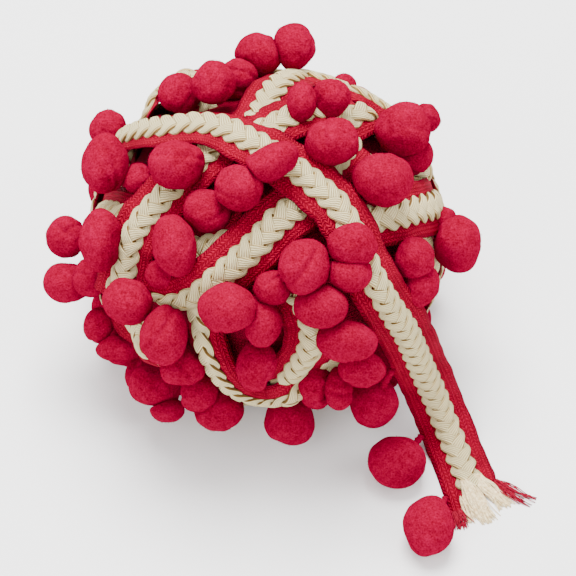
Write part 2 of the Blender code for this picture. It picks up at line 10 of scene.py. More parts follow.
import bmesh
import bpy
import numpy as np
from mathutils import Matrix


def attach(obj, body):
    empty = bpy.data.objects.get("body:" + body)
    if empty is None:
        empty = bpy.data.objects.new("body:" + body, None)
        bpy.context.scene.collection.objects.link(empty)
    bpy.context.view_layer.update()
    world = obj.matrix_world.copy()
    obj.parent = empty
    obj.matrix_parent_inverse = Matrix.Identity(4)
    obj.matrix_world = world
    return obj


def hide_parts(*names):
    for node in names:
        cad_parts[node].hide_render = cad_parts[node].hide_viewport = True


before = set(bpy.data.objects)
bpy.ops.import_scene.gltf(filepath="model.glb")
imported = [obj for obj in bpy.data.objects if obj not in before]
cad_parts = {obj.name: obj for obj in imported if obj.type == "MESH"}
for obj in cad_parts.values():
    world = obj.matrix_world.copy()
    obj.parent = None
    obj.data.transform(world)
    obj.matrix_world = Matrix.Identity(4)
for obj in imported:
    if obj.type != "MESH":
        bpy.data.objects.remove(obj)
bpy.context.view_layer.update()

# The eye and the ball
# The ball rests on its flat spot at the origin. It is seen from the front, 50 degrees above the
# surface and a metre away, with its middle left of and above the picture's middle.
MM = 0.001
PICTURE = 576
CORE_HALF = np.array([64.5, 63.5, 56.0]) * MM
BALL_MIDDLE = np.array([0.0, 0.0, 57.5]) * MM
VIEW_TILT = math.radians(50.0)
VIEW_DISTANCE = 1.0
PIXEL = 0.39 * MM
BALL_SEEN_AT = (267.0, 238.0)
SENSOR = 36.0

VIEW_OUT = np.array([0.0, -math.cos(VIEW_TILT), math.sin(VIEW_TILT)])
VIEW_UP = np.array([0.0, math.sin(VIEW_TILT), math.cos(VIEW_TILT)])
VIEW_RIGHT = np.array([1.0, 0.0, 0.0])
AIM = (BALL_MIDDLE + (PICTURE / 2 - BALL_SEEN_AT[0]) * PIXEL * VIEW_RIGHT
       + (BALL_SEEN_AT[1] - PICTURE / 2) * PIXEL * VIEW_UP)
EYE = AIM + VIEW_DISTANCE * VIEW_OUT


def unit(vectors):
    """Vectors divided by their own length."""
    return vectors / np.linalg.norm(vectors, axis=-1, keepdims=True)


def sight_line(px, py):
    """The line from the eye through a pixel of the picture."""
    across = (px - PICTURE / 2) * PIXEL
    up = (PICTURE / 2 - py) * PIXEL
    return AIM + across * VIEW_RIGHT + up * VIEW_UP - EYE


def at_height(px, py, height):
    """Where the line through a pixel passes this height over the surface."""
    line = sight_line(px, py)
    return EYE + line * (height - EYE[2]) / line[2]


def on_ball(px, py, lift):
    """Where the line through a pixel first meets the core's ellipsoid grown by a lift."""
    half = CORE_HALF + lift
    start = (EYE - BALL_MIDDLE) / half
    line = sight_line(px, py) / half
    a = line @ line
    b = start @ line
    reach = b * b - a * (start @ start - 1.0)
    t = (-b - math.sqrt(max(reach, 0.0))) / a
    return BALL_MIDDLE + half * unit(start + t * line)


def shell_normal(points):
    """Outward direction of the core's ellipsoid: a point from its middle over the squared half sizes."""
    return unit((np.asarray(points) - BALL_MIDDLE) / CORE_HALF**2)


def smooth_route(points, step):
    """Points a step apart on the Catmull-Rom cubic through the given points."""
    knots = np.asarray(points, dtype=float)
    padded = np.vstack([2 * knots[0] - knots[1], knots, 2 * knots[-1] - knots[-2]])
    t = np.linspace(0.0, 1.0, 24, endpoint=False)[:, None]
    pieces = [0.5 * (2 * b + (c - a) * t + (2 * a - 5 * b + 4 * c - d) * t**2
                     + (3 * b - a - 3 * c + d) * t**3)
              for a, b, c, d in zip(padded, padded[1:], padded[2:], padded[3:])]
    fine = np.vstack(pieces + [knots[-1:]])
    run = run_along(fine)
    stations = np.linspace(0.0, run[-1], max(3, round(run[-1] / step) + 1))
    return at_stations(fine, run, stations)


def run_along(points):
    """The distance run along a route at each of its points."""
    return np.concatenate([[0.0], np.cumsum(np.linalg.norm(np.diff(points, axis=0), axis=1))])


def at_stations(values, run, stations):
    """Values of each column read off at stations along a run."""
    return np.stack([np.interp(stations, run, values[:, k]) for k in range(values.shape[1])], axis=1)


def rise(distance, far, near):
    """A soft step, 3t^2 - 2t^3, from 0 at the far distance to 1 at the near one."""
    t = np.clip((far - distance) / (far - near), 0.0, 1.0)
    return t * t * (3 - 2 * t)


camera_data = bpy.data.cameras.new("camera")
camera_data.sensor_width = SENSOR
camera_data.lens = SENSOR * VIEW_DISTANCE / (PICTURE * PIXEL)
camera_data.clip_start = 0.05
camera = bpy.data.objects.new("camera", camera_data)
bpy.context.scene.collection.objects.link(camera)
for column, direction in enumerate((VIEW_RIGHT, VIEW_UP, VIEW_OUT)):
    for row in range(3):
        camera.matrix_world[row][column] = direction[row]
camera.matrix_world.translation = EYE
bpy.context.scene.camera = camera

# The wound core
# The inner turns of the same trim, pressed together: a ball of crimson tape seen only as dark
# hollows between the outer turns, its cloth a copy of the tape darkened as painted shade. It is
# held by nothing but the winding.
TAPE_WIDTH = 22.0 * MM
TAPE_THICK = 1.3 * MM
PLAIT_HALF = 5.6 * MM
BOW = 0.6 * MM
CORE_DIP = -3.6 * MM
CORE_WAVE = 1.2 * MM
CORE_BASE = 0.4 * MM
LEAST_HEIGHT = 0.15 * MM

Loop = namedtuple("Loop", "lean_deg heading_deg shift_mm lift_mm")
LOOPS = [
    Loop(12, 20, 8, -2.2),
    Loop(38, 75, -12, -1.4),
    Loop(62, 130, 10, -0.6),
    Loop(84, 15, -14, -1.8),
    Loop(70, 60, 18, 0.0),
    Loop(50, 170, -4, -1.0),
    Loop(88, 100, 4, 0.4),
    Loop(40, 270, -12, 4.0),
    Loop(47, 262, -31, 2.6),
]


def new_piece(name, verts, faces, uvs, material):
    """A mesh piece from arrays of points, kept above the surface, of faces and of each corner's (u, v)."""
    verts = np.array(verts, dtype=np.float32)
    verts[:, 2] = np.maximum(verts[:, 2], 0.0)
    sizes = [f.shape[1] for f in faces]
    counts = [len(f) for f in faces]
    corners = np.concatenate([f.ravel() for f in faces]).astype(np.int32)
    totals = np.repeat(sizes, counts).astype(np.int32)
    starts = np.concatenate([[0], np.cumsum(totals)[:-1]]).astype(np.int32)
    mesh = bpy.data.meshes.new(name)
    mesh.vertices.add(len(verts))
    mesh.vertices.foreach_set("co", verts.ravel())
    mesh.loops.add(len(corners))
    mesh.loops.foreach_set("vertex_index", corners)
    mesh.polygons.add(len(totals))
    mesh.polygons.foreach_set("loop_start", starts)
    mesh.polygons.foreach_set("loop_total", totals)
    mesh.update(calc_edges=True)
    if uvs is not None:
        layer = mesh.uv_layers.new(name="cloth")
        layer.data.foreach_set("uv", np.asarray(uvs, dtype=np.float32)[corners].ravel())
    mesh.polygons.foreach_set("use_smooth", np.full(len(totals), True))
    mesh.validate()
    piece = bpy.data.objects.new(name, mesh)
    bpy.context.scene.collection.objects.link(piece)
    mesh.materials.append(material)
    return piece


def grid_faces(rows, columns, closed):
    """Four-cornered faces of a grid of rows by columns, its last column joined to the first if closed."""
    i = np.arange(rows - 1)[:, None]
    k = np.arange(columns if closed else columns - 1)[None]
    after = (k + 1) % columns
    corners = [i * columns + k, i * columns + after, (i + 1) * columns + after, (i + 1) * columns + k]
    return np.stack(corners, axis=-1).reshape(-1, 4)


def carried(route, sides, outs, across, up):
    """A closed section, across and up for each station, carried along a route with fan-capped ends.

    A point is route + across * side + up * out, and no point goes below the surface it rests on.
    Returns points and [quads, triangles].
    """
    rows, columns = across.shape
    skin = route[:, None] + sides[:, None] * across[..., None] + outs[:, None] * up[..., None]
    skin = skin.reshape(-1, 3)
    skin[:, 2] = np.maximum(skin[:, 2], LEAST_HEIGHT)
    ends = np.stack([skin[:columns].mean(0), skin[-columns:].mean(0)])
    quads = grid_faces(rows, columns, True)
    k = np.arange(columns)
    after = (k + 1) % columns
    hub = rows * columns
    first = np.stack([after, k, np.full(columns, hub)], axis=1)
    last_row = (rows - 1) * columns
    last = np.stack([last_row + k, last_row + after, np.full(columns, hub + 1)], axis=1)
    return np.vstack([skin, ends]), [quads, np.vstack([first, last])]


def joined(shapes):
    """Several (points, [quads, triangles], uvs) as one."""
    points, quads, tris, uvs, start = [], [], [], [], 0
    for shape_points, shape_faces, shape_uvs in shapes:
        points.append(shape_points)
        uvs.append(shape_uvs)
        quads.append(shape_faces[0] + start)
        tris.append(shape_faces[1] + start)
        start += len(shape_points)
    return np.vstack(points), [np.vstack(quads), np.vstack(tris)], np.vstack(uvs)


def route_frames(route, roll):
    """Sides and outs along a route on the ball, turned about its run by a roll in degrees."""
    along = unit(np.gradient(route, axis=0))
    outs = shell_normal(route)
    sides = unit(np.cross(along, outs))
    outs = unit(np.cross(sides, along))
    angle = np.radians(np.broadcast_to(roll, len(route)))[:, None]
    return sides * np.cos(angle) + outs * np.sin(angle), outs * np.cos(angle) - sides * np.sin(angle)


def loop_route(loop, step):
    """A whole turn cut from the core's ellipsoid by a slanted plane.

    A point is shift * axis + sqrt(1 - shift^2) (side cos a + other sin a), times the half sizes.
    """
    lean = math.radians(loop.lean_deg)
    heading = math.radians(loop.heading_deg)
    level = math.sin(lean)
    axis = np.array([level * math.cos(heading), level * math.sin(heading), math.cos(lean)])
    side = unit(np.cross(axis, [0.3, 0.2, 1.0]))
    other = np.cross(axis, side)
    half = CORE_HALF + loop.lift_mm * MM
    shift = loop.shift_mm * MM / half.mean()
    steps = round(2 * math.pi * half.mean() / step)
    angle = np.linspace(0.0, 2 * math.pi, steps + 1)[:, None]
    ring = shift * axis + math.sqrt(1 - shift**2) * (side * np.cos(angle) + other * np.sin(angle))
    return BALL_MIDDLE + half * ring


class Nodes:
    """A material's node tree with short ways to add and link its nodes."""

    def __init__(self, name, roughness, shine):
        self.material = bpy.data.materials.new(name)
        self.material.use_nodes = True
        self.tree = self.material.node_tree
        self.shader = self.tree.nodes["Principled BSDF"]
        self.shader.inputs["Roughness"].default_value = roughness
        self.shader.inputs["Specular IOR Level"].default_value = shine

    def add(self, kind, inputs=(), **settings):
        """A node of a kind with its settings, its inputs linked or set by name or number."""
        node = self.tree.nodes.new(f"ShaderNode{kind}")
        for key, value in settings.items():
            setattr(node, key, value)
        for key, value in dict(inputs).items():
            if isinstance(value, bpy.types.NodeSocket):
                self.tree.links.new(value, node.inputs[key])
            else:
                node.inputs[key].default_value = value
        return node

    def math(self, operation, a, b=0.0, c=0.0):
        """The output of a Math node."""
        return self.add("Math", {0: a, 1: b, 2: c}, operation=operation).outputs[0]

    def ramp(self, factor, stops):
        """A colour ramp over (position, colour) stops."""
        node = self.add("ValToRGB", {"Fac": factor})
        ramp = node.color_ramp
        ramp.elements[0].position, ramp.elements[0].color = stops[0][0], (*stops[0][1], 1.0)
        ramp.elements[1].position, ramp.elements[1].color = stops[-1][0], (*stops[-1][1], 1.0)
        for position, colour in stops[1:-1]:
            ramp.elements.new(position).color = (*colour, 1.0)
        return node.outputs["Color"]

    def noise(self, where, scale, detail=2.0, roughness=0.5):
        """The grey of a noise texture."""
        return self.add("TexNoise", {"Vector": where, "Scale": scale, "Detail": detail,
                                     "Roughness": roughness}).outputs["Fac"]

    def bump(self, height, distance, strength=1.0):
        """Link a height to the shader's normal."""
        node = self.add("Bump", {"Height": height, "Distance": distance, "Strength": strength})
        self.tree.links.new(node.outputs["Normal"], self.shader.inputs["Normal"])

    def colour(self, socket):
        """Link a colour to the shader."""
        self.tree.links.new(socket, self.shader.inputs["Base Color"])

    def sheen(self, weight, roughness, tint):
        """Fixed sheen of a fuzzy cloth."""
        self.shader.inputs["Sheen Weight"].default_value = weight
        self.shader.inputs["Sheen Roughness"].default_value = roughness
        self.shader.inputs["Sheen Tint"].default_value = (*tint, 1.0)


STITCH_COLUMN = 1.35 * MM
STITCH_PITCH = 1.35 * MM
SELVAGE = 10.3 * MM


def braided_tape(name, shade):
    """Crimson braid: columns of slanted stitches that lean by turns left and right, from the cloth map.

    Height is (1 - |2a|^2.4) * (0.5 + 0.5 cos(2 pi (u / pitch + lean * a)))^0.7, a being the place in a
    column. The colour follows the same height: painted shade in the gaps between stitches and painted
    light on their crests, over the yarn's own random tone. Past the selvage the braid fades to one even
    tone.
    """
    n = Nodes(name, 0.9, 0.04)
    uv = n.add("UVMap", uv_map="cloth").outputs["UV"]
    wobble = n.noise(uv, 420.0, 3.0, 0.6)
    sway = n.noise(uv, 240.0, 1.0)
    split = n.add("SeparateXYZ", {"Vector": uv})
    along = n.math("MULTIPLY_ADD", wobble, 2.0 * MM, split.outputs["X"])
    across = n.math("MULTIPLY_ADD", n.math("SUBTRACT", sway, 0.5), 0.8 * MM, split.outputs["Y"])
    column = n.math("DIVIDE", across, STITCH_COLUMN)
    place = n.math("SUBTRACT", n.math("FRACT", column), 0.5)
    count = n.math("ABSOLUTE", n.math("FLOOR", column))
    parity = n.math("MULTIPLY_ADD", n.math("MODULO", count, 2.0), 2.0, -1.0)
    slant = n.math("MULTIPLY", n.math("MULTIPLY", place, 0.85), parity)
    turn = n.math("ADD", n.math("DIVIDE", along, STITCH_PITCH), slant)
    wave = n.math("MULTIPLY_ADD", n.math("COSINE", n.math("MULTIPLY", turn, 2 * math.pi)), 0.5, 0.5)
    rim = n.math("ABSOLUTE", n.math("MULTIPLY", place, 2.0))
    swell = n.math("SUBTRACT", 1.0, n.math("POWER", rim, 2.4))
    stitch = n.math("MULTIPLY", n.math("POWER", wave, 0.7), swell)
    thread = n.noise(uv, 2600.0, 3.0, 0.6)
    patch = n.noise(uv, 90.0, 2.0)
    # Painted shade and light: the stitch height darkens the gaps and lightens the crests; the thread and
    # patch noise are the yarn's own tone.
    tone = n.math("ADD", n.math("MULTIPLY", stitch, 0.50), n.math("MULTIPLY", thread, 0.42))
    tone = n.math("ADD", tone, n.math("MULTIPLY", n.math("SUBTRACT", patch, 0.5), 0.5))
    edge = n.math("DIVIDE", n.math("SUBTRACT", n.math("ABSOLUTE", split.outputs["Y"]), SELVAGE), 0.25 * MM)
    edge = n.math("MINIMUM", n.math("MAXIMUM", edge, 0.0), 1.0)
    tone = n.math("ADD", tone, n.math("MULTIPLY", edge, n.math("SUBTRACT", 0.62, tone)))
    dark, middle, light = ((0.085, 0.0, 0.004), (0.25, 0.0, 0.015), (0.38, 0.0, 0.034))
    stops = [(0.04, dark), (0.40, middle), (0.90, light)]
    n.colour(n.ramp(tone, [(at, tuple(shade * c for c in colour)) for at, colour in stops]))
    n.bump(n.math("ADD", stitch, n.math("MULTIPLY", thread, 0.25)), 0.6 * MM, 1.0)
    return n.material


tape_cloth = braided_tape("tape_crimson", 1.0)
# A copy of the tape darkened to 0.62 as painted shade, for the core and the inner loops in the hollows.
shaded_tape_cloth = braided_tape("tape_crimson_painted_shade", 0.62)


def ball_template(level):
    """Rays and triangles of an icosphere."""
    form = bmesh.new()
    bmesh.ops.create_icosphere(form, subdivisions=level, radius=1.0)
    rays = unit(np.array([v.co[:] for v in form.verts]))
    faces = np.array([[v.index for v in f.verts] for f in form.faces])
    form.free()
    return rays, faces


def wound_core():
    """The core: an icosphere's rays times the half sizes, dented by the product of two slow sines."""
    rays, faces = ball_template(6)
    wave = np.sin(rays @ np.array([9.0, 4.0, -6.0])) * np.sin(rays @ np.array([-3.0, 8.0, 7.0]) + 1.0)
    points = BALL_MIDDLE + (CORE_HALF + CORE_DIP + CORE_WAVE * wave[:, None]) * rays
    points[:, 2] = np.maximum(points[:, 2], CORE_BASE)
    round_run = np.arctan2(rays[:, 1], rays[:, 0]) * CORE_HALF[0]
    uvs = np.stack([round_run, rays[:, 2] * CORE_HALF[2]], axis=1)
    return new_piece("wound_core", points, [faces], uvs, shaded_tape_cloth)


core = wound_core()
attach(core, "root")
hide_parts("wound_ball")

# The wound turns
# Each turn is the same flat tape, about 22 mm wide and braided from crimson cotton, laid round the
# ball and held by the turns over it. The outer turns follow the picture; whole loops lie beneath.
Turn = namedtuple("Turn", "name lift_mm end_lift_mm roll_from roll_to plus_to minus_from minus_to "
                          "before_mm after_mm forward route")

# A lift, roll or bend grows from its first to its last value as the square of the run.
TURNS = [
    Turn("middle", 3.4, 3.4, 4, 60, -58, 0, 0, 0, 0, False, [
        (318, 190), (297, 205), (277, 221), (262, 238), (249, 251), (229, 269), (215, 280), (203, 290),
        (188, 298), (170, 299), (152, 292)]),
    Turn("left", 3.2, 3.2, 6, 26, 0, 0, 0, 0, 0, False, [
        (214, 143), (201, 156), (184, 175), (168, 193), (150, 212), (138, 228), (128, 250), (121, 274),
        (117, 300)]),
    Turn("crossing", 3.4, 3.4, 0, 0, 0, 0, 0, 0, 0, True, [
        (236, 142), (250, 134), (267, 126), (285, 119), (303, 113), (318, 110)]),
    Turn("arch", 3.4, 6.0, 0, 0, -60, 0, -60, 0, 26, True, [
        (252, 122), (258, 109), (266, 97), (275, 88), (286, 80), (300, 74), (317, 75), (334, 82), (350, 91),
        (367, 99), (385, 109), (404, 121)]),
    Turn("upper_right", 3.5, 9.5, 0, 0, 0, 0, 0, 0, 18, True, [
        (300, 117), (320, 115), (360, 113), (388, 115), (410, 123), (425, 134), (434, 147), (437, 159)]),
    Turn("right", 3.2, 4.2, 0, 4, 0, 0, 0, 0, 34, True, [
        (338, 218), (366, 219), (394, 216), (416, 210), (432, 206), (443, 202)]),
    Turn("lower_loop", 2.2, 4.0, -30, 17, 0, -76, -3, 0, 24, True, [
        (190, 296), (195, 316), (200, 333), (206, 348), (217, 371), (232, 388), (248, 396), (265, 399),
        (277, 399), (286, 398)]),
    Turn("lower_middle", 1.6, 1.2, 0, 0, 0, 0, 0, 0, 20, False, [
        (295, 288), (306, 305), (312, 322), (312, 336), (309, 350), (303, 362), (296, 373), (289, 382)]),
    Turn("low_left", 4.5, 4.0, 38, 30, -80, 0, 0, 4, 0, True, [
        (107, 306), (118, 319), (132, 333), (150, 346), (170, 355)]),
    Turn("upper_left", 6.0, 10.0, 0, 0, 0, 0, 0, 0, 18, True, [
        (128, 136), (138, 118), (149, 102), (162, 90), (182, 78)]),
    Turn("far_left", 0.4, 0.4, 0, 0, 0, 0, 0, 16, 0, True, [(84, 223), (103, 215), (120, 217), (140, 226)]),
    Turn("steep_right", 0.4, 0.4, 0, 0, 0, 0, 0, 16, 0, True, [
        (348, 142), (342, 150), (332, 164), (321, 179), (311, 192)]),
    Turn("far_right", 0.6, 0.6, 0, 0, 0, 0, 0, 0, 16, True, [(405, 232), (425, 245), (434, 270)]),
    Turn("under_middle", -0.4, -0.4, 0, 0, 0, 0, 0, 0, 0, True, [
        (150, 246), (186, 251), (219, 246), (250, 235)]),
    Turn("low_right", -0.4, -0.4, 0, 0, 0, 0, 0, 0, 0, True, [(318, 340), (329, 363), (345, 385)]),
]
STACK = 4.0 * MM
PRESS_FAR = 22.0 * MM
PRESS_NEAR = 13.0 * MM
DIVE = -7.0 * MM
LOOP_SINK = 7.5 * MM
LAST_LIFT = 5.9 * MM
OVER_BALL = [(112, 141), (127, 136), (145, 130), (168, 127), (195, 124), (222, 127), (238, 135),
             (256, 144), (276, 157), (301, 174), (319, 189), (335, 203), (351, 230)]
FINE_STEP = 1.0 * MM
COARSE_STEP = 2.4 * MM


def ripple(run, seed):
    """A slow sway along a run: the sum of three sines of 7 to 23 mm, between about -1 and 1."""
    rng = np.random.default_rng(seed)
    waves = [np.sin(2 * math.pi * run / (size * MM) + rng.uniform(0, 6.3)) for size in (7.0, 12.5, 23.0)]
    return 0.25 * waves[0] + 0.35 * waves[1] + 0.4 * waves[2]


def tape_shape(route, sides, outs, seed=0, plus_bend=0.0, minus_bend=0.0):
    """A tape: two faces rounded over their edges, its margins rippled and bent, carried along a route.

    Past the plait's edge p a point goes across as p + (s - p) cos(bend) and up as (s - p) sin(bend); the
    whole section bows as -4 bow a^2 over the width.
    """
    half = np.linspace(-0.5, 0.5, 13)
    swell = np.sqrt(np.clip(1 - (2 * half) ** 8, 0.0, 1.0)) * 0.5 * TAPE_THICK
    flat = np.concatenate([half, half[-2:0:-1]]) * TAPE_WIDTH
    thick = np.concatenate([-swell, swell[-2:0:-1]])
    run = run_along(route)[:, None]
    beyond = np.maximum(np.abs(flat) - PLAIT_HALF, 0.0)
    bend = np.radians(np.where(flat > 0, np.reshape(plus_bend, (-1, 1)), np.reshape(minus_bend, (-1, 1))))
    sway = np.where(flat > 0, ripple(run, seed), ripple(run, seed + 50))
    wide = beyond * (1 + 0.05 * np.where(flat > 0, ripple(run, seed + 7), ripple(run, seed + 57)))
    away = np.minimum(np.abs(flat), PLAIT_HALF) + wide * np.cos(bend) - thick * np.sin(bend)
    up = wide * np.sin(bend) + thick * np.cos(bend) + 0.10 * beyond * sway
    up = up - 4 * BOW * (flat / TAPE_WIDTH) ** 2
    across = np.sign(flat) * away
    rows, columns = len(route), len(flat)
    points, faces = carried(route, sides, outs, np.broadcast_to(across, (rows, columns)),
                            np.broadcast_to(up, (rows, columns)))
    u = np.repeat(run.ravel(), columns)
    v = np.tile(flat, rows)
    uvs = np.vstack([np.stack([u, v], axis=1), [[0.0, 0.0], [u[-1], 0.0]]])
    return points, faces, uvs


def pressed_under(route, lifts, upper):
    """A route sunk along the ball's normal, to a stack's height below the lift of each turn over it.

    The sink is a soft step of the distance to the upper route, from PRESS_FAR to PRESS_NEAR.
    """
    sink = np.zeros(len(route))
    for over, over_lifts in upper:
        apart = np.linalg.norm(route[:, None] - over[None, ::3], axis=-1)
        share = rise(apart.min(1), PRESS_FAR, PRESS_NEAR)
        room = over_lifts[::3][apart.argmin(1)] - STACK
        sink = np.maximum(sink, share * np.maximum(0.0, lifts - room))
    return route - shell_normal(route) * sink[:, None]


def carried_on(route, lift, reach):
    """A route run on past its end under other turns, its lift over the shell falling softly to DIVE."""
    points = [*route[-2:]]
    for gone in np.arange(FINE_STEP, reach, FINE_STEP):
        half = CORE_HALF + DIVE + (lift - DIVE) * rise(gone, reach, 0.0)
        ahead = points[-1] + unit(points[-1] - points[-2]) * FINE_STEP
        points.append(BALL_MIDDLE + half * unit((ahead - BALL_MIDDLE) / half))
    return np.vstack([route, *points[2:]])


turn_frames = []
turn_bends = []
over_route = smooth_route([on_ball(px, py, LAST_LIFT) for px, py in OVER_BALL], FINE_STEP)
laid = [(over_route, np.full(len(over_route), LAST_LIFT))]
for turn in TURNS:
    growth = np.linspace(0.0, 1.0, len(turn.route)) ** 2
    grown = (turn.lift_mm + (turn.end_lift_mm - turn.lift_mm) * growth) * MM
    route = smooth_route([on_ball(px, py, lift) for (px, py), lift in zip(turn.route, grown)], FINE_STEP)
    route = carried_on(route, grown[-1], turn.after_mm * MM)
    route = carried_on(route[::-1], grown[0], turn.before_mm * MM)[::-1]
    lifts = np.interp(np.linspace(0.0, 1.0, len(route)), np.linspace(0.0, 1.0, len(grown)), grown)
    sunk = pressed_under(route, lifts, laid)
    laid.append((route, lifts))
    growth = np.linspace(0.0, 1.0, len(route)) ** 2
    roll = turn.roll_from + (turn.roll_to - turn.roll_from) * growth
    turn_frames.append((turn, sunk, *route_frames(sunk, roll)))
    turn_bends.append((turn.plus_to * growth, turn.minus_from + (turn.minus_to - turn.minus_from) * growth))
tapes = [tape_shape(*rest, k, *bends) for k, ((_, *rest), bends) in enumerate(zip(turn_frames, turn_bends))]
outer_turns = new_piece("outer_turns", *joined(tapes), tape_cloth)
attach(outer_turns, "root")

loop_frames = []
for loop in LOOPS:
    route = loop_route(loop, COARSE_STEP)
    facing = rise(shell_normal(route) @ VIEW_OUT, -0.1, 0.4)
    route = route - shell_normal(route) * (LOOP_SINK * facing)[:, None]
    loop_frames.append((loop, route, *route_frames(route, 0.0)))
tapes = [tape_shape(*rest) for _, *rest in loop_frames]
# The inner loops wear the tape darkened as painted shade.
inner_loops = new_piece("inner_loops", *joined(tapes), shaded_tape_cloth)
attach(inner_loops, "root")

# The plait on the turns
# Three flat strands of soft cream cotton, each a bundle of fine threads, plaited about 12 mm wide
# and sewn along the middle of the tape.
PLAIT_PERIOD = 18.6 * MM
STRAND_SWING = 4.25 * MM
STRAND_DIVE = 0.9 * MM
STRAND_TILT_DEG = 26.0
POINTED = 0.95
STRAND_HALF_WIDTH = 2.6 * MM
STRAND_HALF_HEIGHT = 1.0 * MM
THREADS = 6
SEAT_FLAT = 0.35 * MM
PLAIT_SEAT = TAPE_THICK / 2 + 0.65 * MM


def cream_plait(name, shade):
    """Cream cotton: fine lines along each strand from the cloth map's v, with painted shade at the strand's
    edges.
    """
    n = Nodes(name, 0.82, 0.15)
    uv = n.add("UVMap", uv_map="cloth").outputs["UV"]
    split = n.add("SeparateXYZ", {"Vector": uv})
    drift = n.noise(uv, 260.0, 2.0)
    v = n.math("ADD", split.outputs["Y"], n.math("MULTIPLY", drift, 0.10))
    lines = n.math("MULTIPLY_ADD", n.math("COSINE", n.math("MULTIPLY", v, 2 * math.pi * THREADS)), 0.5, 0.5)
    lines = n.math("POWER", lines, 0.6)
    # Painted shade: the tone falls to a quarter at each strand's edges, in the creases where the strands
    # pass under each other.
    edge = n.math("ABSOLUTE", n.math("MULTIPLY_ADD", split.outputs["Y"], 2.0, -1.0))
    inner = n.math("SUBTRACT", 1.0, n.math("POWER", edge, 4.0))
    fibre = n.noise(uv, 3000.0, 3.0, 0.6)
    tone = n.math("ADD", n.math("MULTIPLY", lines, 0.62), n.math("MULTIPLY", fibre, 0.25))
    tone = n.math("MULTIPLY", n.math("ADD", tone, 0.10), n.math("MULTIPLY_ADD", inner, 0.76, 0.24))
    stops = [(0.10, (0.22, 0.10, 0.020)), (0.32, (0.68, 0.46, 0.17)), (0.52, (1.0, 0.88, 0.50))]
    n.colour(n.ramp(tone, [(at, tuple(shade * c for c in colour)) for at, colour in stops]))
    n.bump(n.math("ADD", lines, n.math("MULTIPLY", fibre, 0.3)), 0.7 * MM, 1.0)
    return n.material


plait_cotton = cream_plait("plait_cream", 1.0)
# A copy of the cotton darkened to 0.8 as painted shade, for the plaits of the inner loops.
shaded_plait_cotton = cream_plait("plait_cream_painted_shade", 0.8)


def strand_shape(route, sides, outs, phase, per_period, around, forward):
    """One strand of a plait: its middle goes across as asin(POINTED sin t), a wave with pointed turns.

    It goes up as sin(2t + 30 degrees), t running a whole turn in each period, so it crests near the plait's
    middle. The section is a flat bundle, wide as 0.58 + 0.48 cos(t)^2, that lies flat on the tape.
    """
    run = run_along(route)
    stations = np.linspace(0.0, run[-1], max(4, round(run[-1] / PLAIT_PERIOD * per_period)))
    middle = at_stations(route, run, stations)
    side = unit(at_stations(sides, run, stations))
    out = unit(at_stations(outs, run, stations))
    t = 2 * math.pi * stations / PLAIT_PERIOD * (1 if forward else -1) + phase
    across = STRAND_SWING * np.arcsin(POINTED * np.sin(t)) / math.asin(POINTED)
    up = STRAND_DIVE * np.sin(2 * t + math.radians(30))
    path = middle + side * across[:, None] + out * (PLAIT_SEAT + up)[:, None]
    along = unit(np.gradient(path, axis=0))
    lean = unit(np.cross(along, out))
    rise_out = unit(np.cross(lean, along))
    tilt = -math.radians(STRAND_TILT_DEG) * np.sin(t) ** 3
    lean, rise_out = (lean * np.cos(tilt)[:, None] + rise_out * np.sin(tilt)[:, None],
                      rise_out * np.cos(tilt)[:, None] - lean * np.sin(tilt)[:, None])
    angle = 2 * math.pi * np.arange(around) / around
    flat = np.sign(np.cos(angle)) * np.abs(np.cos(angle)) ** 0.8 * STRAND_HALF_WIDTH
    high = np.sign(np.sin(angle)) * np.abs(np.sin(angle)) ** 0.8 * STRAND_HALF_HEIGHT
    rows = len(stations)
    pinch = (0.58 + 0.48 * np.cos(t) ** 2)[:, None]
    points, faces = carried(path, lean, rise_out, flat * pinch, np.broadcast_to(high, (rows, around)))
    middles = np.repeat(middle, around, axis=0)
    upward = np.repeat(out, around, axis=0)
    sunk = SEAT_FLAT - ((points[:-2] - middles) * upward).sum(1)
    points[:-2] += upward * np.maximum(sunk, 0.0)[:, None]
    v = np.tile((flat / STRAND_HALF_WIDTH + 1) / 2, rows)
    ends = [[0.0, 0.5], [stations[-1], 0.5]]
    return points, faces, np.vstack([np.stack([np.repeat(stations, around), v], axis=1), ends])


def plait_shapes(route, sides, outs, per_period, around, forward):
    """Three strands a third of a turn apart."""
    phases = 2 * math.pi * np.arange(3) / 3
    return [strand_shape(route, sides, outs, phase, per_period, around, forward) for phase in phases]


strands = [shape for turn, *rest in turn_frames
           for shape in plait_shapes(*rest, per_period=24, around=14, forward=turn.forward)]
outer_plaits = new_piece("outer_plaits", *joined(strands), plait_cotton)
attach(outer_plaits, "root")
strands = [shape for _, *rest in loop_frames
           for shape in plait_shapes(*rest, per_period=12, around=8, forward=True)]
# The inner plaits wear the cotton darkened as painted shade.
inner_plaits = new_piece("inner_plaits", *joined(strands), shaded_plait_cotton)
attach(inner_plaits, "root")

# The last turn and the free end
# The same tape and plait, lying over the top of the ball and falling to the surface in front, where
# it lies flat to its cut end.
FREE_BELOW = (88.0 * MM, 60.0 * MM)
KNOT_STEP = 6.0 * MM
Fall = namedtuple("Fall", "px py height_mm on_ball")
FALLING = [
    Fall(375, 283, 91.0, True),
    Fall(391, 310, 77.0, True),
    Fall(405, 331, 63.0, True),
    Fall(421, 367, 38.0, False),
    Fall(434, 396, 19.0, False),
    Fall(446, 426, 6.0, False),
    Fall(457, 453, 1.3, False),
    Fall(467, 478, 0.9, False),
    Fall(474, 497, 0.9, False),
]


def untwisted(along, last_out):
    """Outs carried back from a route's end, each the last one less its part along the run."""
    outs = [last_out]
    for ahead in along[::-1]:
        outs.append(unit(outs[-1] - ahead * (outs[-1] @ ahead)))
    return np.array(outs[:0:-1])


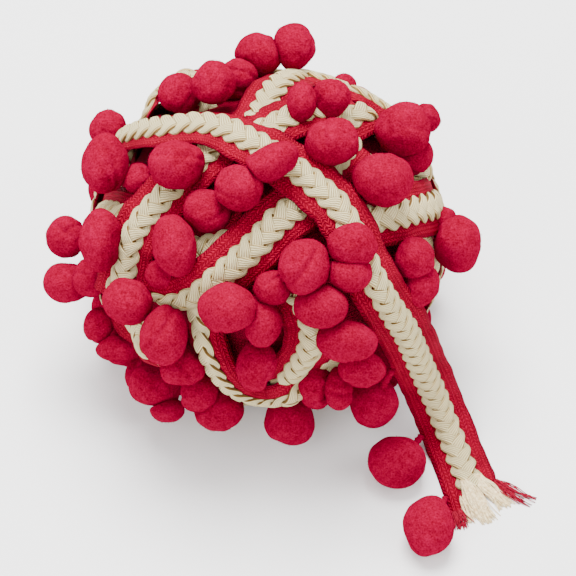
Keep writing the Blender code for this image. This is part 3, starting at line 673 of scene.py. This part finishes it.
def last_turn_frames():
    """The last turn's route with its sides and outs."""
    over = smooth_route([on_ball(px, py, LAST_LIFT) for px, py in OVER_BALL], KNOT_STEP)
    falling = []
    for f in FALLING:
        height = f.height_mm * MM
        if f.on_ball:
            height = max(height, on_ball(f.px, f.py, LAST_LIFT)[2])
        falling.append(at_height(f.px, f.py, height))
    route = smooth_route(np.vstack([over, falling]), FINE_STEP)
    along = unit(np.gradient(route, axis=0))
    free = rise(route[:, 2], *FREE_BELOW)[:, None]
    outs = unit(shell_normal(route) * (1 - free) + untwisted(along, np.array([0.0, 0.0, 1.0])) * free)
    sides = unit(np.cross(along, outs))
    return route, sides, unit(np.cross(sides, along))


tail_frames = last_turn_frames()
tail_length = run_along(tail_frames[0])[-1]
END_SLANT = 0.62
END_REACH = 3.0 * MM
END_LENGTH = 26.0 * MM
FAR_MARGIN_DEG = -42.0
NEAR_MARGIN_SHARE = -0.3
BENT_UNTIL = (92.0 * MM, 58.0 * MM)
far_margin = FAR_MARGIN_DEG * rise(run_along(tail_frames[0]), *BENT_UNTIL)
near_margin = NEAR_MARGIN_SHARE * far_margin
tail_points, tail_faces, tail_uvs = tape_shape(*tail_frames, 90, near_margin, far_margin)
before_end = (tail_length - tail_uvs[:, 0]) / END_LENGTH
slant = (tail_uvs[:, 1] * END_SLANT + END_REACH) * rise(before_end, 1.0, 0.0)
tail_points = tail_points + unit(tail_frames[0][-1] - tail_frames[0][-4]) * slant[:, None]
tail_tape = new_piece("last_turn_tape", tail_points, tail_faces, tail_uvs, tape_cloth)
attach(tail_tape, "root")
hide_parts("tail_tape")
shorter = [part[:-5] for part in tail_frames]
strands = plait_shapes(*shorter, per_period=28, around=16, forward=False)
tail_plait = new_piece("last_turn_plait", *joined(strands), plait_cotton)
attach(tail_plait, "root")
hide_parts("tail_plait")

# The frayed end
# The cut end comes loose in locks of crimson tape thread, two thick tufts of the plait's cream
# cotton and a few single threads, lying on the surface.
Lock = namedtuple("Lock", "across_mm wide_mm back_mm high_mm length_mm turn_deg fan_deg threads")
TAPE_LOCKS = [
    Lock(-9.6, 1.0, 7, 1.6, 17, -60, 4, 12),
    Lock(-9.0, 1.4, 6, 1.8, 16, -50, 5, 12),
    Lock(-7.4, 2.6, 4, 1.2, 8, -30, 20, 12),
    Lock(6.0, 1.6, -1, 1.4, 7, -4, 18, 12),
    Lock(8.0, 3.0, -4, 1.4, 8, 4, 22, 34),
    Lock(9.6, 1.2, -4, 1.4, 8, 16, 16, 10),
]
TUFTS = [
    Lock(-2.6, 3.8, 10, 3.8, 17, -42, 6, 120),
    Lock(1.6, 4.6, 9, 3.6, 19, -14, 5, 150),
    Lock(5.0, 1.6, 2, 2.2, 12, -8, 16, 22),
    Lock(-6.0, 1.6, 2, 1.8, 9, -40, 20, 10),
]


def thread_shapes(locks, seed, radius):
    """Tapered tubes, a thread each: its heading turns evenly along it and is summed to its path.

    Height falls to the surface as (1 - s)^1.5, with a low hump sin(pi s); s runs 0 to 1 along the thread.
    """
    rng = np.random.default_rng(seed)
    route, sides, _ = tail_frames
    end = route[-1]
    ahead = unit((route[-1] - route[-4]) * np.array([1.0, 1.0, 0.0]))
    side = unit(sides[-1] * np.array([1.0, 1.0, 0.0]))
    s = np.linspace(0.0, 1.0, 9)
    shapes = []
    for lock in locks:
        n = lock.threads
        across = (lock.across_mm + lock.wide_mm * rng.uniform(-0.5, 0.5, n)) * MM
        length = lock.length_mm * MM * rng.uniform(0.78, 1.05, n)[:, None]
        heading = np.radians(lock.turn_deg * (0.45 + 0.55 * s[None])
                             + lock.fan_deg * (rng.normal(size=(n, 1)) * (0.25 + 0.75 * s[None]))
                             + 10 * rng.normal(size=(n, 1)) * np.sin(math.pi * s[None] * 2))
        step = length / 8
        forward = np.cumsum(np.cos(heading) * step, axis=1) - lock.back_mm * MM
        sideways = np.cumsum(np.sin(heading) * step, axis=1)
        start = rng.uniform(0.35, 1.0, n)[:, None] * lock.high_mm * MM
        hump = rng.uniform(0.2, 1.6, n)[:, None] * MM
        height = start * (1 - s[None]) ** 1.5 + hump * np.sin(math.pi * s[None]) + radius
        paths = (np.array([end[0], end[1], 0.0]) + ahead * forward[..., None]
                 + side * (across[:, None] + sideways)[..., None]
                 + np.array([0.0, 0.0, 1.0]) * height[..., None])
        width = radius * (1 - 0.35 * s)[:, None]
        angle = 2 * math.pi * np.arange(4) / 4
        for path in paths:
            along = unit(np.gradient(path, axis=0))
            beside = unit(np.cross(along, [0.0, 0.0, 1.0]))
            over = np.cross(beside, along)
            points, faces = carried(path, beside, over, width * np.cos(angle), width * np.sin(angle))
            v = np.tile(angle / (2 * math.pi), 9)
            ends = [[0.0, 0.5], [8 * MM, 0.5]]
            uvs = np.vstack([np.stack([np.repeat(s * 8 * MM, 4), 0.5 + 0.2 * (v - 0.5)], axis=1), ends])
            shapes.append((points, faces, uvs))
    return shapes


def yarn(name, dark, light):
    """Loose thread: two tones mixed by fine noise along it."""
    n = Nodes(name, 0.85, 0.10)
    where = n.add("TexCoord").outputs["Object"]
    n.colour(n.ramp(n.noise(where, 900.0, 3.0, 0.6), [(0.3, dark), (0.7, light)]))
    return n.material


THREAD_RADIUS = 0.26 * MM
frayed_tape = new_piece("frayed_tape", *joined(thread_shapes(TAPE_LOCKS, 5, THREAD_RADIUS)),
                        yarn("thread_crimson", (0.12, 0.0, 0.005), (0.36, 0.004, 0.035)))
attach(frayed_tape, "root")
plait_tufts = new_piece("plait_tufts", *joined(thread_shapes(TUFTS, 9, THREAD_RADIUS)),
                        yarn("thread_cream", (0.58, 0.41, 0.19), (0.98, 0.86, 0.57)))
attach(plait_tufts, "root")

# The pompoms
# Balls of dense pink fibre, about 22 mm, tied and clipped, each hung on a short stem of yarn from
# the tape's edge. They press against each other and against the turns.
Pompom = namedtuple("Pompom", "px py wide_px tall_px tilt_deg lift_mm")
ROWS = {
    "top_left": [(181, 94, 42, 42, 0, 6), (213, 83, 43, 48, 0, 9), (238, 77, 40, 44, 0, 4),
                 (259, 54, 49, 45, 0, 9), (293, 44, 42, 46, 0, 9)],
    "left_shoulder": [(108, 127, 38, 36, 0, 5), (105, 163, 46, 62, -8, 13), (138, 178, 34, 30, 0, 1)],
    "top_edge": [(177, 163, 59, 50, 0, 12), (241, 187, 48, 49, 0, 12), (272, 162, 60, 36, 28, 16)],
    "top_pair": [(302, 103, 31, 43, 0, 9), (332, 99, 38, 38, 0, 9), (344, 85, 24, 24, 0, 4)],
    "right_shoulder": [(332, 141, 55, 50, 0, 11), (383, 180, 60, 53, 0, 12), (413, 156, 42, 40, 0, 5),
                       (403, 129, 54, 52, 0, 11), (426, 118, 30, 30, 0, 6)],
    "left_middle": [(207, 212, 48, 44, 0, 3), (174, 247, 44, 64, 10, 12), (165, 275, 40, 36, 0, 4),
                    (129, 302, 52, 46, 0, 12)],
    "left_side": [(67, 237, 40, 40, 0, 8), (100, 240, 42, 62, 0, 12), (92, 277, 38, 38, 0, 6),
                  (66, 282, 47, 40, 0, 9)],
    "low_left_side": [(99, 325, 30, 36, 0, 4), (120, 348, 46, 30, 0, 3), (165, 336, 50, 60, 0, 12),
                      (182, 368, 43, 36, 0, 6), (156, 385, 53, 43, 0, 9)],
    "low_front": [(199, 391, 40, 42, 0, 5), (167, 410, 34, 26, 0, 5), (219, 411, 50, 43, 0, 9),
                  (289, 422, 50, 50, 0, 11)],
    "front_left": [(226, 309, 58, 51, 0, 13), (262, 322, 38, 52, 0, 6), (257, 365, 40, 50, 0, 6)],
    "front_right": [(273, 288, 36, 36, 0, 6), (305, 267, 52, 55, 0, 13), (352, 246, 48, 44, 0, 15),
                    (349, 273, 44, 40, 0, 13), (322, 306, 58, 44, 0, 12), (348, 341, 62, 44, 0, 13)],
    "low_right": [(314, 380, 34, 46, 0, 1), (338, 390, 30, 42, 0, 8), (361, 368, 48, 36, 0, 8),
                  (316, 395, 30, 30, 0, 5)],
    "right_side": [(442, 221, 30, 30, 0, 5), (458, 243, 48, 60, 0, 11)],
    "right_low": [(414, 258, 40, 44, 0, 9), (421, 284, 36, 46, -12, 9)],
}
Ring = namedtuple("Ring", "height_mm first_deg last_deg pompoms radius_mm lift_mm")
RINGS = {
    "back_low": Ring(22, 16, 168, 7, 10.5, 11),
    "back_middle": Ring(44, 44, 148, 5, 10.5, 11),
    "back_high": Ring(66, 60, 112, 3, 10.0, 7),
    "low_left_corner": Ring(22, 186, 222, 3, 10.0, 8),
    "low_right_corner": Ring(22, 322, 346, 2, 10.5, 5),
}
Hanging = namedtuple("Hanging", "px py height_mm wide_px tall_px foot")
HANGING = [
    Hanging(374, 400, 25.0, 51, 51, (396, 369)),
    Hanging(398, 461, 10.0, 56, 54, (424, 436)),
    Hanging(428, 526, 10.0, 52, 56, (444, 498)),
]
Placed = namedtuple("Placed", "row centre axes radii fine foot")
PRESS = 0.5 * MM
FIBRE_LENGTH = 0.9 * MM
FIBRE_WIDTH = 0.13 * MM
FINE_FIBRES = 1100
COARSE_FIBRES = 300
STEM_RADIUS = 1.3 * MM
STEM_TWIST = 2.4 * MM
LIFT_STEP = 0.25 * MM
MOST_LIFT = 17.0 * MM


def pink_felt():
    """Pink pompom fibre: fine noise for cut fibre ends and broad noise for tufts, with a soft sheen."""
    n = Nodes("pompom_pink", 0.95, 0.0)
    where = n.add("TexCoord").outputs["Object"]
    fine = n.noise(where, 1500.0, 3.0, 0.7)
    tuft = n.noise(where, 420.0, 3.0, 0.55)
    broad = n.noise(where, 90.0, 2.0)
    tone = n.math("ADD", n.math("MULTIPLY", fine, 0.65), n.math("MULTIPLY", tuft, 0.22))
    tone = n.math("ADD", tone, n.math("MULTIPLY", broad, 0.13))
    stops = [(0.36, (0.12, 0.0, 0.006)), (0.50, (0.215, 0.0, 0.019)), (0.64, (0.31, 0.0, 0.036))]
    n.colour(n.ramp(tone, stops))
    n.bump(n.math("ADD", n.math("MULTIPLY", fine, 0.6), tuft), 0.8 * MM, 0.9)
    n.sheen(0.05, 0.6, (1.0, 0.0, 0.12))
    return n.material


felt = pink_felt()
FINE_BALL = ball_template(5)
COARSE_BALL = ball_template(4)


def soft_least(a, b, width):
    """The smaller of two lengths, rounded over where they differ by less than a width."""
    h = np.clip(0.5 + 0.5 * (b - a) / width, 0.0, 1.0)
    return b * (1 - h) + a * h - width * h * (1 - h)


def pompom_shape(centre, axes, radii, planes, seed, template, fibres):
    """A pompom: rays times an ellipsoid's reach, lumpy, cleft, pressed flat at planes, with fibres.

    The reach along a ray is 1 / |ray in the axes over the radii|, and the lumps are low sine waves. A
    cleft takes off a bell curve of the ray's height over a plane through the middle, on one side. Each
    fibre is one thin triangle.
    """
    rng = np.random.default_rng(seed)
    rays, faces = template
    reach = 1.0 / np.linalg.norm((rays @ axes.T) / radii, axis=1)
    lump = np.zeros(len(rays))
    for size, count, depth in ((2.4, 4, 0.034), (5.0, 5, 0.014), (11.0, 6, 0.006)):
        for _ in range(count):
            lump += depth * np.sin(rays @ (unit(rng.normal(size=3)) * size) + rng.uniform(0, 2 * math.pi))
    for _ in range(2):
        tilt, side = unit(rng.normal(size=(2, 3)))
        depth = rng.uniform(0.01, 0.12)
        bell = np.exp(-((rays @ tilt - rng.uniform(-0.3, 0.3)) / 0.12) ** 2)
        lump -= depth * bell * rise(rays @ side, -0.2, 0.7)
    reach = reach * (1 + lump)
    for normal, distance in planes:
        facing = rays @ normal
        limit = np.where(facing > 0.05, distance / np.maximum(facing, 0.05), 1.0)
        reach = soft_least(reach, limit, 1.6 * MM)
    points = centre + rays * reach[:, None]
    picked = rng.integers(0, len(faces), fibres)
    weights = rng.dirichlet((1.0, 1.0, 1.0), fibres)
    roots = (points[faces[picked]] * weights[..., None]).sum(1)
    outward = unit(roots - centre)
    lean = unit(outward + 0.75 * rng.normal(size=(fibres, 3)))
    side = unit(np.cross(lean, rng.normal(size=(fibres, 3)))) * FIBRE_WIDTH / 2
    length = FIBRE_LENGTH * rng.uniform(0.4, 1.3, fibres)[:, None]
    base = roots - outward * 0.2 * MM
    blades = np.stack([base - side, base + side, base + lean * length], axis=1).reshape(-1, 3)
    blade_faces = np.arange(3 * fibres).reshape(-1, 3) + len(points)
    return np.vstack([points, blades]), np.vstack([faces, blade_faces])


def stem_shape(foot, head, radius):
    """A yarn stem: a round section with a two-ply twist, carried from the tape's edge into its pompom."""
    sag = np.array([0.0, 0.0, -1.0]) * 0.6 * MM
    route = smooth_route([foot, (foot + head) / 2 + sag, head], 0.8 * MM)
    along = unit(np.gradient(route, axis=0))
    side = unit(np.cross(along, [0.35, 0.20, 0.91]))
    out = np.cross(side, along)
    angle = 2 * math.pi * np.arange(8) / 8
    twist = run_along(route)[:, None] / STEM_TWIST * 2 * math.pi
    reach = radius * (1 + 0.22 * np.cos(2 * (angle[None] - twist / 2)))
    points, faces = carried(route, side, out, reach * np.cos(angle), reach * np.sin(angle))
    quads = faces[0]
    tris = np.vstack([quads[:, [0, 1, 2]], quads[:, [0, 2, 3]], faces[1]])
    return points, tris


def shell_foot(centre):
    """The point of the core's ellipsoid straight under a pompom."""
    return BALL_MIDDLE + CORE_HALF * unit((centre - BALL_MIDDLE) / CORE_HALF)


def tape_edge_at(px, py):
    """The point of the last turn's pompom edge that is seen nearest a pixel."""
    route, sides, _ = tail_frames
    edge = route + sides * TAPE_WIDTH / 2
    away = edge - EYE
    line = unit(sight_line(px, py))
    return edge[np.linalg.norm(away - (away @ line)[:, None] * line, axis=1).argmin()]


def hung_at(px, py, lift):
    """Where a pompom seen at a pixel hangs: on the shell, or further out where the pixel misses it."""
    line = unit(sight_line(px, py))
    centre = on_ball(px, py, lift)
    while np.linalg.norm(np.cross(line, centre - EYE)) > LIFT_STEP and lift < MOST_LIFT:
        lift += LIFT_STEP
        centre = on_ball(px, py, lift)
    return centre


def picture_axes(tilt_deg):
    """The picture's right, up and out directions, the first two turned by a tilt."""
    tilt = math.radians(tilt_deg)
    right = VIEW_RIGHT * math.cos(tilt) + VIEW_UP * math.sin(tilt)
    up = VIEW_UP * math.cos(tilt) - VIEW_RIGHT * math.sin(tilt)
    return np.array([right, up, VIEW_OUT])


def three_widths(wide_px, tall_px):
    """A width and a height as seen, and their mean for the depth."""
    return np.array([wide_px, tall_px, (wide_px + tall_px) / 2])


def gather_pompoms():
    """Every pompom: the picture's, then the rings behind and the free end's."""
    found = []
    for row, places in ROWS.items():
        for place in places:
            p = Pompom(*place)
            centre = hung_at(p.px, p.py, p.lift_mm * MM)
            scale = PIXEL * (1 - (centre - AIM) @ VIEW_OUT / VIEW_DISTANCE) / 2
            radii = three_widths(p.wide_px, p.tall_px) * scale
            found.append(Placed(row, centre, picture_axes(p.tilt_deg), radii, True, shell_foot(centre)))
    for row, ring in RINGS.items():
        half = CORE_HALF + ring.lift_mm * MM
        level = (ring.height_mm * MM - BALL_MIDDLE[2]) / half[2]
        wide = math.sqrt(1 - level**2)
        for degrees in np.linspace(ring.first_deg, ring.last_deg, ring.pompoms):
            angle = math.radians(degrees)
            centre = BALL_MIDDLE + half * np.array([wide * math.cos(angle), wide * math.sin(angle), level])
            radii = np.full(3, ring.radius_mm * MM)
            found.append(Placed(row, centre, np.eye(3), radii, False, shell_foot(centre)))
    for p in HANGING:
        centre = at_height(p.px, p.py, p.height_mm * MM)
        radii = three_widths(p.wide_px, p.tall_px) * PIXEL / 2
        found.append(Placed("tail", centre, picture_axes(0), radii, True, tape_edge_at(*p.foot)))
    return found


def press_planes(index, centres, sizes):
    """Planes half way to each neighbour that this pompom would run into, and the surface below."""
    planes = [(np.array([0.0, 0.0, -1.0]), centres[index][2] - 0.2 * MM)]
    for other in range(len(centres)):
        apart = centres[other] - centres[index]
        distance = np.linalg.norm(apart)
        if other != index and distance < sizes[index] + sizes[other]:
            middle = (distance**2 + sizes[index] ** 2 - sizes[other] ** 2) / (2 * distance)
            if middle > 0.35 * sizes[index]:
                planes.append((apart / distance, middle + PRESS))
    return planes


pompoms = gather_pompoms()
pompom_centres = np.array([p.centre for p in pompoms])
pompom_sizes = np.array([p.radii.mean() for p in pompoms])
for row in dict.fromkeys(p.row for p in pompoms):
    points, tris, start = [], [], 0
    for index, p in enumerate(pompoms):
        if p.row != row:
            continue
        planes = press_planes(index, pompom_centres, pompom_sizes)
        template, fibres = (FINE_BALL, FINE_FIBRES) if p.fine else (COARSE_BALL, COARSE_FIBRES)
        ball = pompom_shape(p.centre, p.axes, p.radii, planes, 100 + index, template, fibres)
        for shape_points, shape_tris in (ball, stem_shape(p.foot, p.centre, STEM_RADIUS)):
            points.append(shape_points)
            tris.append(shape_tris + start)
            start += len(shape_points)
    piece = new_piece(f"felt_{row}", np.vstack(points), [np.vstack(tris)], None, felt)
    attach(piece, "root")
    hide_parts(f"pompoms_{row}")

# Floor and light
# A plain pale floor, one broad soft light above and behind, and weaker fills from the front.


def plain_finish(name, colour, roughness):
    """A plain matt finish."""
    n = Nodes(name, roughness, 0.2)
    n.shader.inputs["Base Color"].default_value = (*colour, 1.0)
    return n.material


def floor_plate():
    """A flat square grid under the ball."""
    side = np.linspace(-3.0, 3.0, 3)
    x, y = np.meshgrid(side, side, indexing="ij")
    points = np.stack([x.ravel(), y.ravel(), np.zeros(9)], axis=1)
    finish = plain_finish("pale_floor", (0.9, 0.9, 0.9), 0.9)
    return new_piece("floor", points, [grid_faces(3, 3, False)], None, finish)


floor = floor_plate()


def soft_light(name, place, size, watts):
    """A square area light aimed at the ball."""
    data = bpy.data.lights.new(name, "AREA")
    data.size = size
    data.energy = watts
    lamp = bpy.data.objects.new(name, data)
    bpy.context.scene.collection.objects.link(lamp)
    out = unit(np.array(place) - BALL_MIDDLE)
    right = unit(np.cross([0.0, 1.0, 0.05], out))
    up = np.cross(out, right)
    for column, direction in enumerate((right, up, out)):
        for row in range(3):
            lamp.matrix_world[row][column] = direction[row]
    lamp.matrix_world.translation = place


soft_light("top_light", (-0.1, 0.35, 1.3), 0.8, 57.0)
soft_light("front_fill", (-0.5, -1.1, 0.9), 1.2, 19.0)
soft_light("right_fill", (1.1, -0.2, 0.7), 0.9, 8.0)
world = bpy.data.worlds.new("studio")
bpy.context.scene.world = world
world.use_nodes = True
world.node_tree.nodes["Background"].inputs["Color"].default_value = (1.0, 1.0, 1.0, 1.0)
world.node_tree.nodes["Background"].inputs["Strength"].default_value = 1.15
